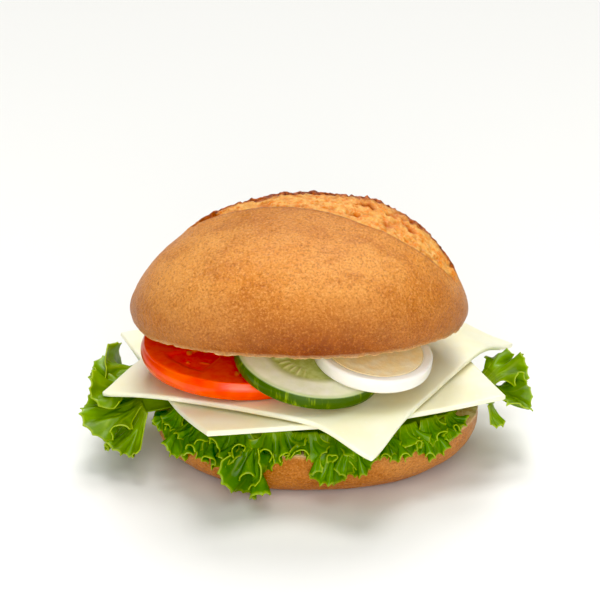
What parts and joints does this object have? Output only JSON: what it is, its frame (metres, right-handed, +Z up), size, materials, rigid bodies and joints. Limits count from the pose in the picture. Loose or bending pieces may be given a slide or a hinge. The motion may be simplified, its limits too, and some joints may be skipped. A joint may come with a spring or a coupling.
{
  "type": "filled bread roll",
  "caption": "Crusty oval bread roll with a long split, cut across and filled with frilled lettuce, square cheese slices, tomato, cucumber and hard-boiled egg.",
  "frame": {"origin": "middle of the flat face that the roll rests on", "axes": "+X along the roll to its right end, +Y to the back, +Z up"},
  "size_m": [0.1513, 0.1408, 0.0893],
  "materials": {
    "crust": "baked crust, satin, golden brown",
    "lettuce": "fresh leaf, waxy sheen",
    "cheese": "smooth, soft satin",
    "tomato": "moist cut flesh, glossy skin",
    "cucumber": "moist cut flesh, green skin",
    "egg_white": "smooth, soft gloss",
    "egg_yolk": "crumbly, matt"
  },
  "bodies": {
    "root": {"roll_bottom": "crust", "roll_top": "crust", "lettuce_front": "lettuce", "lettuce_left": "lettuce", "lettuce_right": "lettuce", "lettuce_back": "lettuce", "cheese_lower": "cheese", "cheese_upper": "cheese", "tomato_slice": "tomato", "cucumber_slice": "cucumber", "egg_white": "egg_white", "egg_yolk": "egg_yolk"}
  },
  "joints": []
}
